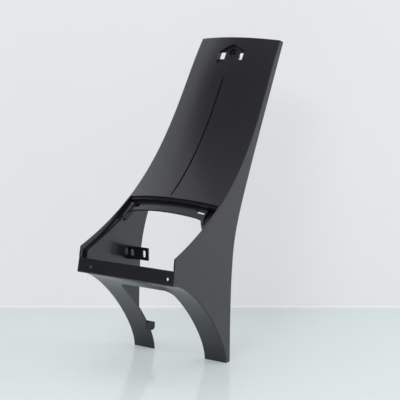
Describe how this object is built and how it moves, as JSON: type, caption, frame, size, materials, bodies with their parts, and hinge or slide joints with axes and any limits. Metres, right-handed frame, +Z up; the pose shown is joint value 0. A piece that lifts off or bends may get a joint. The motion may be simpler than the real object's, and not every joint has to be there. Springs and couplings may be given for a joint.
{
  "type": "scooter leg shield",
  "caption": "Moulded plastic scooter leg shield: curved grooved neck, recessed hatch frame, crossbar with screw holes, arched legs, slotted side bracket, screw seat at the top.",
  "frame": {"origin": "middle of the bounding box's bottom, level with the leg ends", "axes": "+Z up along the shield, -Y towards the front of the scooter, +X to the right in a view from the front"},
  "size_m": [0.218, 0.4046, 0.6049],
  "materials": {
    "shell": "satin dark grey moulded plastic"
  },
  "bodies": {
    "root": {"leg_shield": "shell"}
  },
  "joints": []
}
